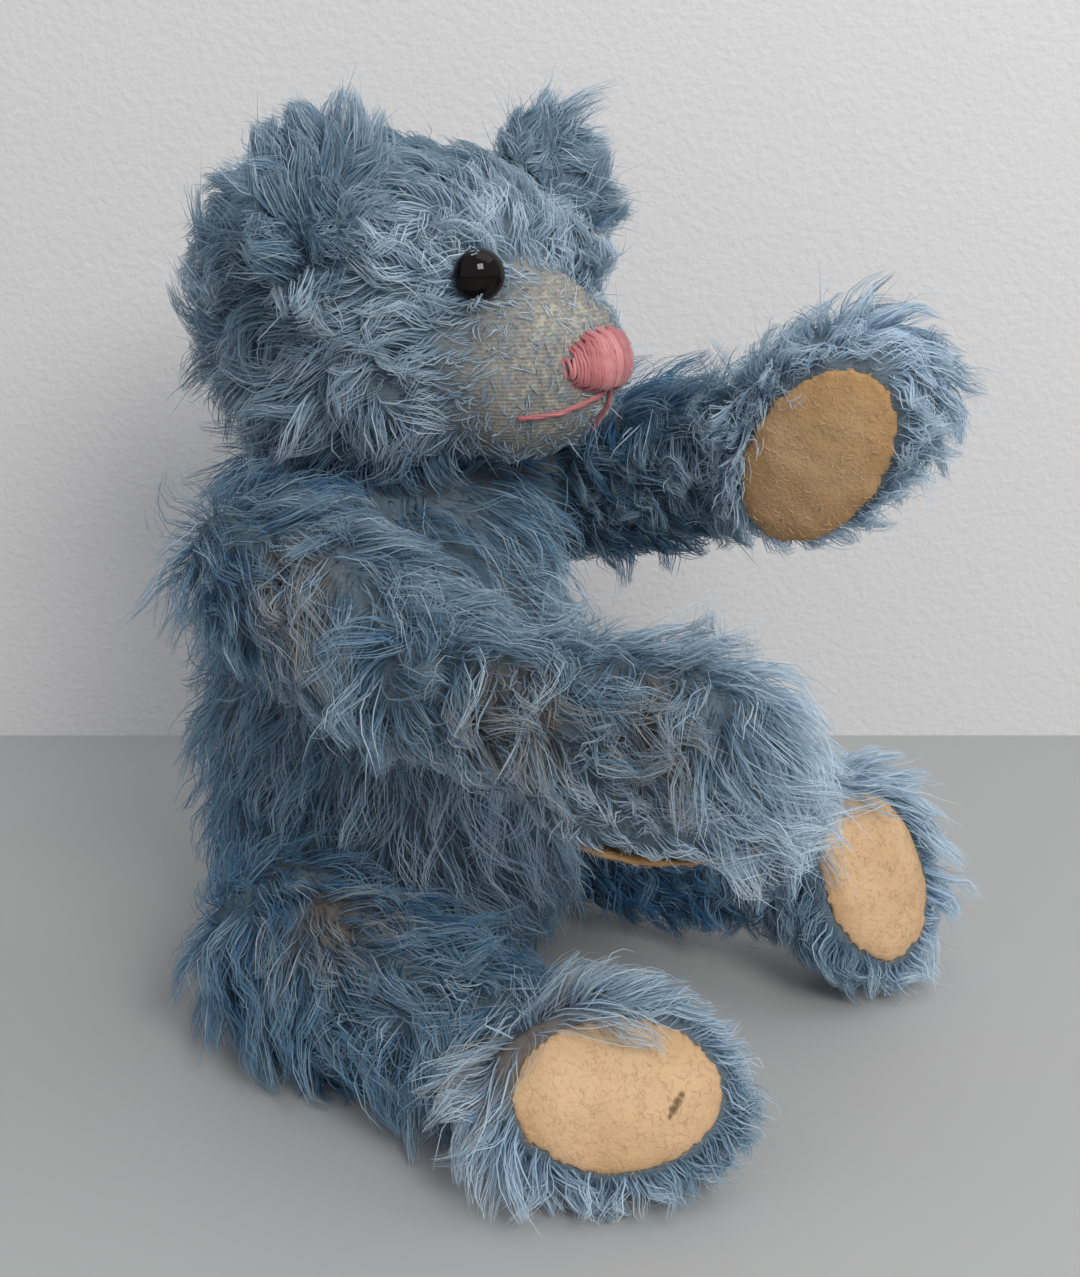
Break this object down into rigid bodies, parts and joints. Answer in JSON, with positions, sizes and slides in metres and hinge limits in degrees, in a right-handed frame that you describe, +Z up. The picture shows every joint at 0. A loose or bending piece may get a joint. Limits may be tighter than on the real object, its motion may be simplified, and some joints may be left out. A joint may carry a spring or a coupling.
{
  "type": "jointed mohair teddy bear",
  "caption": "Worn blue mohair teddy bear, sitting, with disc-jointed head, arms and legs, felt pads, glass eyes and a stitched nose.",
  "frame": {"origin": "on the flat of the seat, on the surface the bear sits on, straight below the neck", "axes": "+Z up, the bear looks along -Y and its left side is +X"},
  "size_m": [0.1801, 0.2045, 0.2399],
  "materials": {
    "mohair": "matte",
    "felt": "matte",
    "glass_eye": "gloss",
    "stitching": "satin",
    "hardboard": "matte",
    "steel": "satin"
  },
  "bodies": {
    "torso": {"torso": "mohair", "neck_disc_torso": "hardboard", "neck_washer_torso": "steel", "shoulder_left_disc_torso": "hardboard", "shoulder_left_washer_torso": "steel", "shoulder_right_disc_torso": "hardboard", "shoulder_right_washer_torso": "steel", "hip_left_disc_torso": "hardboard", "hip_left_washer_torso": "steel", "hip_right_disc_torso": "hardboard", "hip_right_washer_torso": "steel"},
    "head": {"head": "mohair", "ear_left": "mohair", "ear_right": "mohair", "eye_left": "glass_eye", "eye_right": "glass_eye", "nose_stitching": "stitching", "mouth_stitching": "stitching", "neck_disc_outer": "hardboard", "neck_washer_outer": "steel", "neck_split_pin": "steel"},
    "arm_left": {"arm_left": "mohair", "paw_pad_left": "felt", "shoulder_left_disc_outer": "hardboard", "shoulder_left_washer_outer": "steel", "shoulder_left_split_pin": "steel"},
    "arm_right": {"arm_right": "mohair", "paw_pad_right": "felt", "shoulder_right_disc_outer": "hardboard", "shoulder_right_washer_outer": "steel", "shoulder_right_split_pin": "steel"},
    "leg_left": {"leg_left": "mohair", "foot_pad_left": "felt", "hip_left_disc_outer": "hardboard", "hip_left_washer_outer": "steel", "hip_left_split_pin": "steel"},
    "leg_right": {"leg_right": "mohair", "foot_pad_right": "felt", "hip_right_disc_outer": "hardboard", "hip_right_washer_outer": "steel", "hip_right_split_pin": "steel"}
  },
  "joints": [
    {"name": "neck_turn", "type": "hinge", "parent": "torso", "child": "head", "pos_m": [0, 0, 0.152], "axis": [0, 0, -1], "continuous": true},
    {"name": "shoulder_left_turn", "type": "hinge", "parent": "torso", "child": "arm_left", "pos_m": [0.035, 0.002, 0.129], "axis": [-1, 0, 0], "range_deg": [-38, 20]},
    {"name": "shoulder_right_turn", "type": "hinge", "parent": "torso", "child": "arm_right", "pos_m": [-0.035, 0.002, 0.129], "axis": [-1, 0, 0], "range_deg": [-9, 52]},
    {"name": "hip_left_turn", "type": "hinge", "parent": "torso", "child": "leg_left", "pos_m": [0.035, -0.001, 0.027], "axis": [-1, 0, 0], "range_deg": [-180, 12]},
    {"name": "hip_right_turn", "type": "hinge", "parent": "torso", "child": "leg_right", "pos_m": [-0.035, -0.001, 0.027], "axis": [-1, 0, 0], "range_deg": [-180, 8]}
  ]
}
